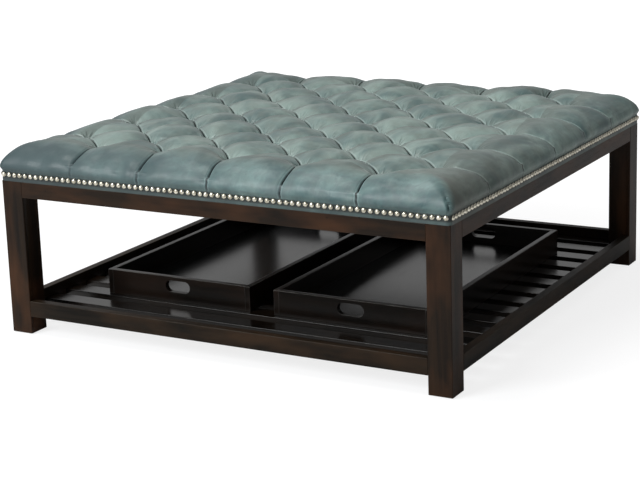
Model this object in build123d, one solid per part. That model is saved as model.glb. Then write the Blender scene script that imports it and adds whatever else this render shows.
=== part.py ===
from build123d import *
import os
from math import sqrt

# Tufted ottoman with a slatted shelf and two loose trays.
# Millimetres, +Z up, front towards -Y, origin on the floor under the middle.

# Overall
base_width = 1220.0
base_depth = 1220.0
base_height = 393.0
cut_overrun = 10.0

# Legs and their glides
leg_side = 60.0
leg_edge_radius = 2.0
glide_radius = 15.0
glide_height = 2.5
glide_pin_radius = 1.5
glide_pin_length = 14.0

# Rails and their tenons
top_rail_height = 40.0
top_rail_thickness = 28.0
lower_rail_height = 40.0
lower_rail_thickness = 22.0
lower_rail_bottom = 47.0
tenon_length = 25.0
tenon_shoulder = 6.0
top_tenon_thickness = 10.0
lower_tenon_thickness = 8.0
joint_clearance = 0.15
mortise_end_clearance = 1.0

# Shelf slats
slat_count = 14
slat_width = 50.0
slat_thickness = 15.0
slat_tenon_length = 10.0
slat_tenon_width = 36.0
slat_tenon_thickness = 8.0

# Corner braces, hanger bolts and screws
brace_height = 28.0
brace_drop = 4.0
brace_reach = 110.0
brace_fit = 0.3
bolt_radius = 4.0
bolt_in_leg = 36.0
bolt_tail = 12.0
washer_radius = 9.0
washer_thickness = 2.0
nut_width = 13.0
nut_height = 6.5
screw_radius = 2.25
screw_head_radius = 4.5
screw_head_height = 3.0
screw_recess_radius = 5.5
screw_clearance = 0.15
rail_screw_setback = 28.0
rail_screw_length = 30.0
rail_screw_grip = 12.0
seat_screw_setback = 55.0
seat_screw_inset = 9.0
seat_screw_depth = 16.0

# Seat frame, deck and dust cover
board_width = 45.0
board_height = 30.0
board_inset = 0.4
board_screw_spread = 6.0
board_screw_rise = 9.0
board_screw_length = 70.0
deck_thickness = 12.0
rabbet_width = 15.0
deck_clearance = 0.3
dust_cover_thickness = 0.6
dust_cover_clearance = 0.5

# Tufted leather and foam
tuft_pitch = 198.0
tuft_margin = 115.0
tuft_rise = 59.0
saddle_rise = 14.0
pillow_rise = 18.0
loft_overrun = 4.0
tuft_padding = 8.0
leather_hem = 1.0
leather_overhang = 2.0
pleat_overhang = 3.0
side_bulge = 12.0
shoulder_radius = 50.0
shoulder_headroom = 3.0
bulge_start = 24.0
corner_radius = 16.0
foam_clearance = 0.3
twine_radius = 1.0
twine_hole_radius = 2.5
tie_washer_radius = 10.0
tie_washer_thickness = 1.5

# Nails
nail_spacing = 16.45
nail_end = 11.6
nail_rise = 16.5
nail_head_radius = 6.2
nail_head_height = 4.0
nail_shank_radius = 0.8
nail_shank_length = 10.0

# Trays
tray_width = 425.0
tray_length = 798.0
tray_height = 64.0
tray_wall = 14.5
tray_gap = 68.0
tray_bottom_thickness = 6.0
tray_bottom_rise = 4.0
tray_groove_depth = 5.0
tray_tongue_length = 6.0
tray_tongue_thickness = 7.0
handle_width = 72.0
handle_height = 30.0
handle_rise = 39.5

half_width = base_width / 2
half_depth = base_depth / 2
slat_top = lower_rail_bottom + slat_thickness
tuft_level = base_height + tuft_rise
crown_level = tuft_level + saddle_rise + pillow_rise
pillows_x = round((base_width - 2 * tuft_margin) / tuft_pitch) + 1
pillows_y = round((base_depth - 2 * tuft_margin) / tuft_pitch) + 1


def block(x0, x1, y0, y1, z0, z1):
    """A box between two corners."""
    middle = Pos((x0 + x1) / 2, (y0 + y1) / 2, (z0 + z1) / 2)
    return middle * Box(abs(x1 - x0), abs(y1 - y0), abs(z1 - z0))


def rod(radius, start, end):
    """A round rod from one point to another."""
    axis = Vector(*end) - Vector(*start)
    return extrude(Plane(origin=start, z_dir=axis) * Circle(radius), amount=axis.length)


def four_corners(solid):
    """The solid of the back right corner and its mirror images."""
    left = mirror(solid, Plane.YZ)
    return {
        "back_right": solid,
        "back_left": left,
        "front_right": mirror(solid, Plane.XZ),
        "front_left": mirror(left, Plane.XZ),
    }


def write(name, shape):
    """One node, as one solid or as a group of separate solids."""
    items = shape if isinstance(shape, list) else [shape]
    solids = [piece for item in items for piece in item.solids()]
    node = solids[0] if len(solids) == 1 else Compound(children=solids)
    node.label = name
    export_step(node, f"parts/{name}.step")


# Rails. The two kinds differ in height, thickness, place and tenon.

def rail_levels(kind):
    """Bottom, top, thickness and tenon thickness of a rail."""
    if kind == "top":
        return base_height - top_rail_height, base_height, top_rail_thickness, top_tenon_thickness
    lower_top = lower_rail_bottom + lower_rail_height
    return lower_rail_bottom, lower_top, lower_rail_thickness, lower_tenon_thickness


def rail_pair(kind, along_half, across_half):
    """A rail on the +Y side, along X, with a tenon at each end."""
    bottom, top, thickness, tenon = rail_levels(kind)
    end = along_half - leg_side
    middle = across_half - thickness / 2
    body = block(-end, end, across_half - thickness, across_half, bottom, top)
    tongue = block(-end - tenon_length, end + tenon_length, middle - tenon / 2, middle + tenon / 2,
                   bottom + tenon_shoulder, top - tenon_shoulder)
    return body + tongue


def mortise(kind, along_half, across_half):
    """The cut for a rail's tenon in the back right leg, with the rail along X."""
    bottom, top, thickness, tenon = rail_levels(kind)
    start = along_half - leg_side - cut_overrun
    end = along_half - leg_side + tenon_length + mortise_end_clearance
    middle = across_half - thickness / 2
    half = tenon / 2 + joint_clearance
    return block(start, end, middle - half, middle + half,
                 bottom + tenon_shoulder - joint_clearance, top - tenon_shoulder + joint_clearance)


def swap_axes(solid):
    """The same solid with X and Y exchanged."""
    return mirror(solid, Plane(origin=(0, 0, 0), z_dir=(1, -1, 0)))


def slat_places():
    """The middle of each slat in Y. The outer two butt against the rails."""
    reach = half_depth - lower_rail_thickness - slat_width / 2
    pitch = 2 * reach / (slat_count - 1)
    return [-reach + pitch * index for index in range(slat_count)]


def slat_tenon(grow, end_grow):
    """The tenons of a slat in the middle of the part, or the cut for them when grown."""
    end = half_width - lower_rail_thickness + slat_tenon_length + end_grow
    wide = slat_tenon_width / 2 + grow
    middle = lower_rail_bottom + slat_thickness / 2
    high = slat_tenon_thickness / 2 + grow
    return block(-end, end, -wide, wide, middle - high, middle + high)


def slat():
    end = half_width - lower_rail_thickness
    body = block(-end, end, -slat_width / 2, slat_width / 2, lower_rail_bottom, slat_top)
    return body + slat_tenon(0, 0)


def outer_slat(place):
    """A slat that is glued along a rail, cut out round the legs."""
    end = half_width - lower_rail_thickness
    body = block(-end, end, place - slat_width / 2, place + slat_width / 2, lower_rail_bottom, slat_top)
    inner_x = half_width - leg_side - joint_clearance
    inner_y = half_depth - leg_side - joint_clearance
    low = lower_rail_bottom - cut_overrun
    post = block(inner_x, half_width, inner_y, half_depth, low, slat_top + cut_overrun)
    return body.cut(*four_corners(post).values())


def lower_side_rail():
    """The right lower rail, with a mortise for each slat but the outer two."""
    rail = swap_axes(rail_pair("lower", half_depth, half_width))
    cut = slat_tenon(joint_clearance, joint_clearance)
    cuts = [Pos(0, place, 0) * cut for place in slat_places()[1:-1]]
    return rail.cut(*cuts)


# Corner braces and what holds them

def brace_levels():
    top = base_height - brace_drop
    return top - brace_height, top


def brace_points():
    """The brace's outline, from the side rail round the leg's inner corner to the back rail."""
    rail_x = half_width - top_rail_thickness
    rail_y = half_depth - top_rail_thickness
    leg_x = half_width - leg_side
    leg_y = half_depth - leg_side
    return [
        (rail_x, leg_y - brace_reach),
        (rail_x, leg_y - brace_fit),
        (leg_x - brace_fit, leg_y - brace_fit),
        (leg_x - brace_fit, rail_y),
        (leg_x - brace_reach, rail_y),
    ]


def bolt_line():
    """The hanger bolt's axis: where it leaves the brace's long face, and its direction."""
    bottom, top = brace_levels()
    points = brace_points()
    face_x = (points[0][0] + points[-1][0]) / 2
    face_y = (points[0][1] + points[-1][1]) / 2
    corner = Vector(half_width - leg_side, half_depth - leg_side, (bottom + top) / 2)
    face = Vector(face_x, face_y, (bottom + top) / 2)
    return face, (corner - face).normalized(), (corner - face).length


def bolt_rod(radius, tail, grow):
    face, direction, depth = bolt_line()
    start = face - direction * tail
    return rod(radius, tuple(start), tuple(face + direction * (depth + bolt_in_leg + grow)))


def hanger_bolt():
    """The bolt with its washer and nut on the brace's long face."""
    face, direction, depth = bolt_line()
    washer = rod(washer_radius, tuple(face - direction * washer_thickness), tuple(face))
    seat = face - direction * washer_thickness
    nut_plane = Plane(origin=tuple(seat), z_dir=-direction)
    nut = extrude(nut_plane * RegularPolygon(nut_width / 2, 6, major_radius=False), amount=nut_height)
    return bolt_rod(bolt_radius, bolt_tail, 0) + washer + nut


def screw(head, direction, length, grow=0.0):
    """A screw whose head's outer face is at a point, or the hole for it when grown."""
    start = Vector(*head)
    way = Vector(*direction)
    neck = start + way * screw_head_height
    shank = rod(screw_radius + grow, tuple(start), tuple(start + way * (length + grow)))
    if grow:
        return shank
    return shank + rod(screw_head_radius, tuple(start), tuple(neck))


def rail_screw_heads():
    """Head place and direction of the two screws from a brace into its rails."""
    bottom, top = brace_levels()
    middle = (bottom + top) / 2
    near_x = half_width - leg_side - brace_reach + rail_screw_setback
    near_y = half_depth - leg_side - brace_reach + rail_screw_setback
    back = rail_screw_grip + screw_head_height
    return [
        ((half_width - top_rail_thickness - back, near_y, middle), (1, 0, 0)),
        ((near_x, half_depth - top_rail_thickness - back, middle), (0, 1, 0)),
    ]


def seat_screw_heads():
    """Head place and direction of the two screws from a brace up into the seat frame."""
    bottom, top = brace_levels()
    inner_x = half_width - top_rail_thickness - seat_screw_inset
    inner_y = half_depth - top_rail_thickness - seat_screw_inset
    return [
        ((inner_x, half_depth - leg_side - seat_screw_setback, bottom), (0, 0, 1)),
        ((half_width - leg_side - seat_screw_setback, inner_y, bottom), (0, 0, 1)),
    ]


def seat_screw_length():
    bottom, top = brace_levels()
    return base_height - bottom + seat_screw_depth


def corner_brace():
    bottom, top = brace_levels()
    outline = make_face(Polyline(*brace_points(), close=True))
    brace = extrude(Plane.XY.offset(bottom) * outline, amount=brace_height)
    cuts = [bolt_rod(bolt_radius + screw_clearance, cut_overrun, 0)]
    for head, direction in rail_screw_heads():
        neck = Vector(*head) + Vector(*direction) * screw_head_height
        recess_start = Vector(*head) - Vector(*direction) * (brace_reach / 2)
        cuts += [screw(head, direction, rail_screw_length, screw_clearance),
                 rod(screw_recess_radius, tuple(recess_start), tuple(neck))]
    for head, direction in seat_screw_heads():
        neck = Vector(*head) + Vector(*direction) * screw_head_height
        cuts += [screw(head, direction, seat_screw_length(), screw_clearance),
                 rod(screw_recess_radius, tuple(Vector(*head) - Vector(0, 0, cut_overrun)), tuple(neck))]
    return brace.cut(*cuts)


# Legs

def leg():
    """The back right leg, with its mortises, bolt hole and glide hole."""
    inner_x = half_width - leg_side
    inner_y = half_depth - leg_side
    post = block(inner_x, half_width, inner_y, half_depth, glide_height, base_height)
    post = fillet(post.edges().filter_by(Axis.Z), leg_edge_radius)
    cuts = [bolt_rod(bolt_radius + screw_clearance, 0, screw_clearance)]
    for kind in ("top", "lower"):
        cuts += [mortise(kind, half_width, half_depth), swap_axes(mortise(kind, half_depth, half_width))]
    cuts.append(glide_rod(glide_pin_radius + screw_clearance, glide_pin_length + screw_clearance))
    return post.cut(*cuts)


def glide_rod(radius, length):
    middle_x = half_width - leg_side / 2
    middle_y = half_depth - leg_side / 2
    return rod(radius, (middle_x, middle_y, 0), (middle_x, middle_y, glide_height + length))


def glide():
    return glide_rod(glide_radius, 0) + glide_rod(glide_pin_radius, glide_pin_length)


# Seat frame, deck and dust cover

def board_screw_heads():
    """The screws through the back board into the end of the right board."""
    level = base_height + board_screw_rise
    middle = half_width - board_inset - board_width / 2
    head_y = half_depth - board_inset
    return [((middle + side * board_screw_spread, head_y, level), (0, -1, 0)) for side in (-1, 1)]


def seat_frame():
    """The seat frame as one ring, before it is divided into its boards."""
    top = base_height + board_height
    ring = seat_prism(board_inset, base_height, top)
    inner_x = half_width - board_inset - board_width
    inner_y = half_depth - board_inset - board_width
    hole = block(-inner_x, inner_x, -inner_y, inner_y, base_height - cut_overrun, top + cut_overrun)
    step_x = inner_x + rabbet_width
    step_y = inner_y + rabbet_width
    rabbet = block(-step_x, step_x, -step_y, step_y, top - deck_thickness, top + cut_overrun)
    return ring.cut(hole, rabbet)


def seat_boards():
    """Front and back boards run the full width. The side boards butt between them."""
    ring = seat_frame()
    outer_x = half_width
    inner_y = half_depth - board_inset - board_width
    top = base_height + board_height + cut_overrun
    bottom = base_height - cut_overrun
    screws = []
    for head, direction in board_screw_heads():
        neck = Vector(*head) + Vector(*direction) * screw_head_height
        outside = Vector(*head) - Vector(*direction) * cut_overrun
        screws += four_corners(screw(head, direction, board_screw_length, screw_clearance)).values()
        screws += four_corners(rod(screw_head_radius + screw_clearance, tuple(outside), tuple(neck))).values()
    for head, direction in seat_screw_heads():
        screws += four_corners(screw(head, direction, seat_screw_length(), screw_clearance)).values()
    ring = ring.cut(*screws)
    return {
        "seat_frame_back": ring & block(-outer_x, outer_x, inner_y, half_depth, bottom, top),
        "seat_frame_front": ring & block(-outer_x, outer_x, -half_depth, -inner_y, bottom, top),
        "seat_frame_right": ring & block(0, outer_x, -inner_y, inner_y, bottom, top),
        "seat_frame_left": ring & block(-outer_x, 0, -inner_y, inner_y, bottom, top),
    }


def deck():
    """The plywood deck in the rabbet, with a hole for each twine."""
    top = base_height + board_height
    edge = board_inset + board_width - rabbet_width + deck_clearance
    panel = block(-half_width + edge, half_width - edge, -half_depth + edge, half_depth - edge,
                  top - deck_thickness, top)
    holes = [rod(twine_hole_radius, (x, y, top - deck_thickness), (x, y, top)) for x, y in tuft_places()]
    return panel.cut(*holes)


def dust_cover():
    """A cloth under the seat frame, inside the rails and clear of the legs."""
    bottom = base_height - dust_cover_thickness
    edge = top_rail_thickness + dust_cover_clearance
    cloth = block(-half_width + edge, half_width - edge, -half_depth + edge, half_depth - edge,
                  bottom, base_height)
    post = leg_side + dust_cover_clearance
    notch = block(half_width - post, half_width, half_depth - post, half_depth,
                  bottom - cut_overrun, base_height + cut_overrun)
    cuts = list(four_corners(notch).values())
    for head, direction in seat_screw_heads():
        cuts += four_corners(screw(head, direction, seat_screw_length(), screw_clearance)).values()
    return cloth.cut(*cuts)


# Tufted leather and foam. Two grids of pillows, one in the middles of the other, meet in creases
# that run from tuft to tuft. Each pillow is a loft through arcs, and the outer row runs on to the edge.

def places(count_x, count_y):
    """The nodes of a grid centred on the seat, a tuft pitch apart."""
    grid = [(i - (count_x - 1) / 2, j - (count_y - 1) / 2) for i in range(count_x) for j in range(count_y)]
    return [(x * tuft_pitch, y * tuft_pitch) for x, y in grid]


def pillow_places():
    return places(pillows_x, pillows_y) + places(pillows_x - 1, pillows_y - 1)


def tuft_places():
    """A tuft lies half a pitch from a pillow's middle along X or along Y."""
    return places(pillows_x - 1, pillows_y) + places(pillows_x, pillows_y - 1)


def arch(half_chord, rise, place):
    """The height of an arc of a given rise over its chord."""
    radius = (half_chord ** 2 + rise ** 2) / (2 * rise)
    return sqrt(radius ** 2 - place ** 2) - (radius - rise)


def pillow_section(place, low):
    """The pillow's section across one diagonal, at a place along the other."""
    half = tuft_pitch / sqrt(2) / 2
    end_level = tuft_level + arch(half, saddle_rise, place)
    swell = max(arch(half, pillow_rise - saddle_rise, place), 0)
    rise = saddle_rise + swell
    reach = half + loft_overrun
    side = end_level + arch(half, rise, reach)
    plane = Plane(origin=(place, 0, 0), x_dir=(0, 1, 0), z_dir=(1, 0, 0))
    outline = [
        Line((-reach, low), (reach, low)),
        Line((reach, low), (reach, side)),
        ThreePointArc((reach, side), (0, end_level + rise), (-reach, side)),
        Line((-reach, side), (-reach, low)),
    ]
    return plane * make_face(outline)


def pillow(low):
    """One pillow down to a level, with its tufts on the X and Y axes."""
    half = tuft_pitch / sqrt(2) / 2
    reach = half + loft_overrun
    stations = [-reach, -half / 2, 0, half / 2, reach]
    body = loft([pillow_section(place, low) for place in stations])
    trim = block(-half, half, -half, half, low, crown_level + cut_overrun)
    return Rot(0, 0, 45) * (body & trim)


def pillow_field():
    """All the pillows in one solid, wider than the seat and reaching below its edge."""
    low = base_height - cut_overrun
    one = pillow(low)
    pillows = [Pos(x, y, 0) * one for x, y in pillow_places()]
    edge_x = (pillows_x - 1) * tuft_pitch / 2
    edge_y = (pillows_y - 1) * tuft_pitch / 2
    middle = block(-edge_x, edge_x, -edge_y, edge_y, low, crown_level + cut_overrun)
    field = pillows[0].fuse(*pillows[1:]) & middle
    return field.fuse(*outer_rows(field, edge_x, edge_y, low))


def outer_rows(field, edge_x, edge_y, low):
    """The outer pillows, run on from the field's four upright faces to past the seat's edge."""
    reach_x = half_width + side_bulge + cut_overrun
    reach_y = half_depth + side_bulge + cut_overrun
    corner = block(edge_x, reach_x, edge_y, reach_y, low, crown_level)
    rows = list(four_corners(corner).values())
    for axis, run in ((Axis.X, reach_x - edge_x), (Axis.Y, reach_y - edge_y)):
        faces = field.faces().filter_by(axis).sort_by(axis)
        rows += [extrude(face, amount=run) for face in (faces[0], faces[-1])]
    return rows


def side_arcs(along_half, across_half, pillows):
    """The scalloped edge of the +Y side, from its -X end to its +X end, pinched at each pleat."""
    level = across_half + pleat_overhang
    crest = across_half + side_bulge
    pleats = [(i + 1 - pillows / 2) * tuft_pitch for i in range(pillows - 1)]
    turn = corner_radius + pleat_overhang - leather_overhang
    end = along_half + pleat_overhang - turn
    stops = [-end, *pleats, end]
    return [ThreePointArc((a, level), ((a + b) / 2, crest), (b, level)) for a, b in zip(stops, stops[1:])]


def side_profile(along_half, across_half, low):
    """The seat's section across Y: drawn in at the nails, swelling above them, round at the shoulder."""
    flat = across_half + leather_overhang
    out = across_half + side_bulge + leather_overhang
    top = crown_level + shoulder_headroom
    spring = top - shoulder_radius
    start = base_height + bulge_start
    lean = (flat + out) / 2 + (out - flat) / 6
    turn = shoulder_radius / sqrt(2)
    inner = out - shoulder_radius
    right = [
        Line((flat, low), (flat, start)),
        ThreePointArc((flat, start), (lean, (start + spring) / 2), (out, spring)),
        ThreePointArc((out, spring), (inner + turn, spring + turn), (inner, top)),
    ]
    left = [mirror(edge, Plane.YZ) for edge in right]
    outline = right + left + [
        Line((inner, top), (-inner, top)),
        Line((-flat, low), (flat, low)),
    ]
    reach = along_half + side_bulge + cut_overrun
    plane = Plane(origin=(-reach, 0, 0), x_dir=(0, 1, 0), z_dir=(1, 0, 0))
    return extrude(plane * make_face(outline), amount=2 * reach)


def seat_envelope(low):
    """The outer shape of the seat without its pillows."""
    back = side_arcs(half_width, half_depth, pillows_x)
    right = [swap_axes(edge) for edge in side_arcs(half_depth, half_width, pillows_y)]
    edges = back + [mirror(edge, Plane.XZ) for edge in back]
    edges += right + [mirror(edge, Plane.YZ) for edge in right]
    turn = corner_radius + pleat_overhang - leather_overhang
    out_x = half_width + pleat_overhang
    out_y = half_depth + pleat_overhang
    short = turn * (1 - 1 / sqrt(2))
    corner = ThreePointArc((out_x - turn, out_y), (out_x - short, out_y - short), (out_x, out_y - turn))
    edges += four_corners(corner).values()
    top = crown_level + cut_overrun
    prism = extrude(Plane.XY.offset(low) * make_face(edges), amount=top - low)
    across = side_profile(half_width, half_depth, low)
    along = swap_axes(side_profile(half_depth, half_width, low))
    return prism & across & along


def seat_prism(inset, bottom, top):
    """A plain block with the seat's round corners, drawn in from the base's faces."""
    out_x = half_width - inset
    out_y = half_depth - inset
    prism = block(-out_x, out_x, -out_y, out_y, bottom, top)
    return fillet(prism.edges().filter_by(Axis.Z), corner_radius - leather_overhang - inset)


def tufted_cover():
    """The leather with its wadding, hollow underneath for the foam, deck and seat frame."""
    outside = pillow_field() & seat_envelope(base_height + leather_hem)
    return outside - seat_prism(0, base_height - cut_overrun, tuft_level - tuft_padding)


def foam_core():
    bottom = base_height + board_height
    top = tuft_level - tuft_padding - foam_clearance
    foam = seat_prism(board_inset, bottom, top)
    holes = [rod(twine_hole_radius, (x, y, bottom), (x, y, top)) for x, y in tuft_places()]
    return foam.cut(*holes)


def tuft_tie():
    """A twine from the cover down through foam and deck to the washer that it is tied to."""
    under = base_height + board_height - deck_thickness
    top = tuft_level - tuft_padding - foam_clearance
    twine = rod(twine_radius, (0, 0, under), (0, 0, top))
    return twine + rod(tie_washer_radius, (0, 0, under - tie_washer_thickness), (0, 0, under))


# Nails

def nail():
    """A domed nail that points along +Y, with its head's flat side at the origin."""
    ball = (nail_head_radius ** 2 + nail_head_height ** 2) / (2 * nail_head_height)
    behind = block(-2 * ball, 2 * ball, 0, 2 * ball, -2 * ball, 2 * ball)
    head = Pos(0, ball - nail_head_height, 0) * Sphere(ball) - behind
    return head + rod(nail_shank_radius, (0, 0, 0), (0, nail_shank_length, 0))


def nail_row(along_half, across_half):
    """The nails of the front side, or of another side before it is turned there."""
    one = nail()
    face = across_half + leather_overhang
    start = along_half + leather_overhang - nail_end
    count = round(2 * start / nail_spacing) + 1
    pitch = 2 * start / (count - 1)
    level = base_height + nail_rise
    return [Pos(-start + index * pitch, -face, level) * one for index in range(count)]


# Trays

def tray_long_side():
    """The right side of a tray in the middle of the part, with its groove and dados."""
    half = tray_width / 2
    end = tray_length / 2
    wall = block(half - tray_wall, half, -end, end, slat_top, slat_top + tray_height)
    floor = slat_top + tray_bottom_rise
    reach = end - tray_wall + tray_groove_depth
    groove = block(half - tray_wall - cut_overrun, half - tray_wall + tray_groove_depth, -reach, reach,
                   floor, floor + tray_bottom_thickness)
    start = end - tray_wall
    dado = block(half - tray_wall - cut_overrun, half - tray_wall + tray_tongue_length + joint_clearance,
                 start - joint_clearance, start + tray_tongue_thickness + joint_clearance,
                 slat_top - cut_overrun, slat_top + tray_height + cut_overrun)
    return wall.cut(groove, dado, mirror(dado, Plane.XZ))


def tray_end():
    """The back end of a tray, with its tongues, groove and hand slot."""
    inner = tray_width / 2 - tray_wall
    end = tray_length / 2
    start = end - tray_wall
    top = slat_top + tray_height
    wall = block(-inner, inner, start, end, slat_top, top)
    tip = inner + tray_tongue_length
    tongue = block(-tip, tip, start, start + tray_tongue_thickness, slat_top, top)
    floor = slat_top + tray_bottom_rise
    groove = block(-tray_width, tray_width, start - cut_overrun, start + tray_groove_depth,
                   floor, floor + tray_bottom_thickness)
    outside = (0, end + cut_overrun, slat_top + handle_rise)
    plane = Plane(origin=outside, x_dir=(1, 0, 0), z_dir=(0, -1, 0))
    slot = extrude(plane * SlotOverall(handle_width, handle_height), amount=tray_wall + 2 * cut_overrun)
    return (wall + tongue).cut(groove, slot)


def tray_bottom():
    reach_x = tray_width / 2 - tray_wall + tray_groove_depth - joint_clearance
    reach_y = tray_length / 2 - tray_wall + tray_groove_depth - joint_clearance
    floor = slat_top + tray_bottom_rise
    return block(-reach_x, reach_x, -reach_y, reach_y, floor, floor + tray_bottom_thickness)


def write_frame():
    for corner, solid in four_corners(leg()).items():
        write(f"leg_{corner}", solid)
    holes = []
    for head, direction in rail_screw_heads():
        holes += four_corners(screw(head, direction, rail_screw_length, screw_clearance)).values()
    back = rail_pair("top", half_width, half_depth).cut(*holes)
    right = swap_axes(rail_pair("top", half_depth, half_width)).cut(*holes)
    write_rails("top_rail", back, right)
    write_rails("lower_rail", rail_pair("lower", half_width, half_depth), lower_side_rail())
    one = slat()
    for index, place in enumerate(slat_places(), start=1):
        outer = index in (1, slat_count)
        write(f"shelf_slat_{index:02d}", outer_slat(place) if outer else Pos(0, place, 0) * one)
    for corner, solid in four_corners(corner_brace()).items():
        write(f"corner_brace_{corner}", solid)


def write_rails(name, back, right):
    write(f"{name}_back", back)
    write(f"{name}_front", mirror(back, Plane.XZ))
    write(f"{name}_right", right)
    write(f"{name}_left", mirror(right, Plane.YZ))


def write_hardware():
    """Glides, bolts and screws, each kind as one group."""
    write("foot_glides", list(four_corners(glide()).values()))
    write("hanger_bolts", list(four_corners(hanger_bolt()).values()))
    kinds = {
        "brace_screws": (rail_screw_heads(), rail_screw_length),
        "seat_screws": (seat_screw_heads(), seat_screw_length()),
        "seat_frame_screws": (board_screw_heads(), board_screw_length),
    }
    for name, (heads, length) in kinds.items():
        screws = [screw(head, direction, length) for head, direction in heads]
        write(name, [copy for one in screws for copy in four_corners(one).values()])


def write_seat():
    for name, board in seat_boards().items():
        write(name, board)
    write("seat_deck", deck())
    write("dust_cover", dust_cover())
    write("leather_cover", tufted_cover())
    write("foam_core", foam_core())
    tie = tuft_tie()
    write("tuft_ties", [Pos(x, y, 0) * tie for x, y in tuft_places()])
    rows = [nail_row(half_width, half_depth), nail_row(half_depth, half_width)]
    for turn, side in enumerate(("front", "right", "back", "left")):
        write(f"nails_{side}", [Rot(0, 0, turn * 90) * one for one in rows[turn % 2]])


def write_trays():
    """Two trays side by side, each of five pieces."""
    side = tray_long_side()
    end = tray_end()
    pieces = {
        "right_side": side,
        "left_side": mirror(side, Plane.YZ),
        "back_end": end,
        "front_end": mirror(end, Plane.XZ),
        "bottom": tray_bottom(),
    }
    for name, way in (("left", -1), ("right", 1)):
        for piece, solid in pieces.items():
            write(f"{name}_tray_{piece}", Pos(way * (tray_width + tray_gap) / 2, 0, 0) * solid)


if __name__ == "__main__":
    os.makedirs("parts", exist_ok=True)
    write_frame()
    write_hardware()
    write_trays()
    write_seat()
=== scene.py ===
from math import cos, pi, radians, sin

import bmesh
import bpy
import numpy as np
from mathutils import Matrix


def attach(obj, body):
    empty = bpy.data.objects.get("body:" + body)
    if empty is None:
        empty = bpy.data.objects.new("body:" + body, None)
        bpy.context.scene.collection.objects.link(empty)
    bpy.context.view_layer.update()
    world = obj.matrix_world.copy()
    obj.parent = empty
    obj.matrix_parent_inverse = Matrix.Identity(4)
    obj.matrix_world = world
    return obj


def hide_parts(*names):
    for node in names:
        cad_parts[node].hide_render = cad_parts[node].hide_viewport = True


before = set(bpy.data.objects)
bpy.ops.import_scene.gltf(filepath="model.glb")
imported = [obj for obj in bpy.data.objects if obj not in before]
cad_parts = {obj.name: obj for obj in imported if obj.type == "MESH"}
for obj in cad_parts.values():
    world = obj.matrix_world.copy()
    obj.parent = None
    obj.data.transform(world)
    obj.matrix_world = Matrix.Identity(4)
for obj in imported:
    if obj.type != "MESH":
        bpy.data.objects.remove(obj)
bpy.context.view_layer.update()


# Legs and rails: square posts with mortised rails of solid hardwood, flush on the outside.
# Stained espresso so that the grain shows through in warm streaks, then given a satin lacquer.
# The edges are eased by hand sanding, and the stain is thinner along them; their lighter colour is also a
# painted highlight, strongest on the top edges.

corners = ["front_left", "front_right", "back_left", "back_right"]
sides = ["front", "back", "left", "right"]
edge_ease = 0.0014
shortest_eased = 0.01
# How much lighter the eased edges are coloured: partly thinner stain, partly a painted highlight, most on
# the top edges.
top_edge_wear_and_highlight = 1.0
lower_edge_wear_and_highlight = 0.3
dent_stain_and_shade = (0.004, 0.003, 0.002)


def new_piece(name, mesh, body, nodes):
    piece = bpy.data.objects.new(name, mesh)
    bpy.context.scene.collection.objects.link(piece)
    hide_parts(*nodes)
    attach(piece, body)
    return piece


def keep_faces_flat(piece):
    """Lets the shading turn only over the eased edges, so that the planed faces stay flat."""
    piece.modifiers.new("flat_faces", "WEIGHTED_NORMAL").keep_sharp = True


def round_shading(mesh, sharp_from):
    """Smooth shading, but for edges that turn by more than an angle in degrees."""
    mesh.shade_smooth()
    mesh.set_sharp_from_angle(angle=radians(sharp_from))


def add_layer(mesh, name, values):
    """Stores a number or a vector at each point of a mesh, for its material to read."""
    kind, field = ("FLOAT", "value") if values.ndim == 1 else ("FLOAT_VECTOR", "vector")
    mesh.attributes.new(name, kind, "POINT").data.foreach_set(field, values.ravel())


def box_of(form):
    places = np.array([v.co for v in form.verts])
    return places.min(axis=0), places.max(axis=0)


def long_edges(form):
    """The edges that lie on two sides of the piece's box, which are those that a hand sands."""
    low, high = box_of(form)
    found = []
    for edge in form.edges:
        if len(edge.link_faces) != 2 or edge.calc_face_angle(0) < radians(30):
            continue
        ends = [v.co for v in edge.verts]
        on = [all(min(p[k] - low[k], high[k] - p[k]) < 0.0001 for p in ends) for k in range(3)]
        if sum(on) >= 2 and edge.calc_length() > shortest_eased:
            found.append(edge)
    return found


def eased_wood(name, body, material, along, seed, more_edges=None):
    """A CAD piece with its long edges eased, which carries the direction of its grain."""
    form = bmesh.new()
    form.from_mesh(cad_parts[name].data)
    bmesh.ops.remove_doubles(form, verts=form.verts, dist=0.00002)
    bmesh.ops.dissolve_limit(form, angle_limit=radians(1), verts=form.verts, edges=form.edges)
    chosen = long_edges(form)
    if more_edges:
        chosen += more_edges(form)
    wear_and_highlight = form.faces.layers.float.new("wear_and_highlight")
    made = bmesh.ops.bevel(
        form, geom=chosen, offset=edge_ease, segments=3, profile=0.5, affect="EDGES", clamp_overlap=True)
    # The top edges get the full lighter colour, which is partly a painted highlight where they catch the
    # light.
    top = box_of(form)[1][2]
    for face in made["faces"]:
        at_top = top - face.calc_center_median().z < 0.002
        face[wear_and_highlight] = top_edge_wear_and_highlight if at_top else lower_edge_wear_and_highlight
    bmesh.ops.triangulate(form, faces=[f for f in form.faces if len(f.verts) > 4])
    mesh = bpy.data.meshes.new(name + "_wood")
    form.to_mesh(mesh)
    form.free()
    places = np.empty(len(mesh.vertices) * 3)
    mesh.vertices.foreach_get("co", places)
    grain = places.reshape(-1, 3)[:, [along, (along + 1) % 3, (along + 2) % 3]]
    add_layer(mesh, "grain", grain + np.random.default_rng(seed).uniform(-3, 3, 3))
    mesh.materials.append(material)
    round_shading(mesh, 40)
    keep_faces_flat(new_piece(name + "_eased", mesh, body, [name]))


def feed(tree, made, values):
    """Links or sets the inputs of a node, by name or number."""
    for key, value in values.items():
        if isinstance(value, bpy.types.NodeSocket):
            tree.links.new(value, made.inputs[key])
        else:
            made.inputs[key].default_value = value


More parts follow.
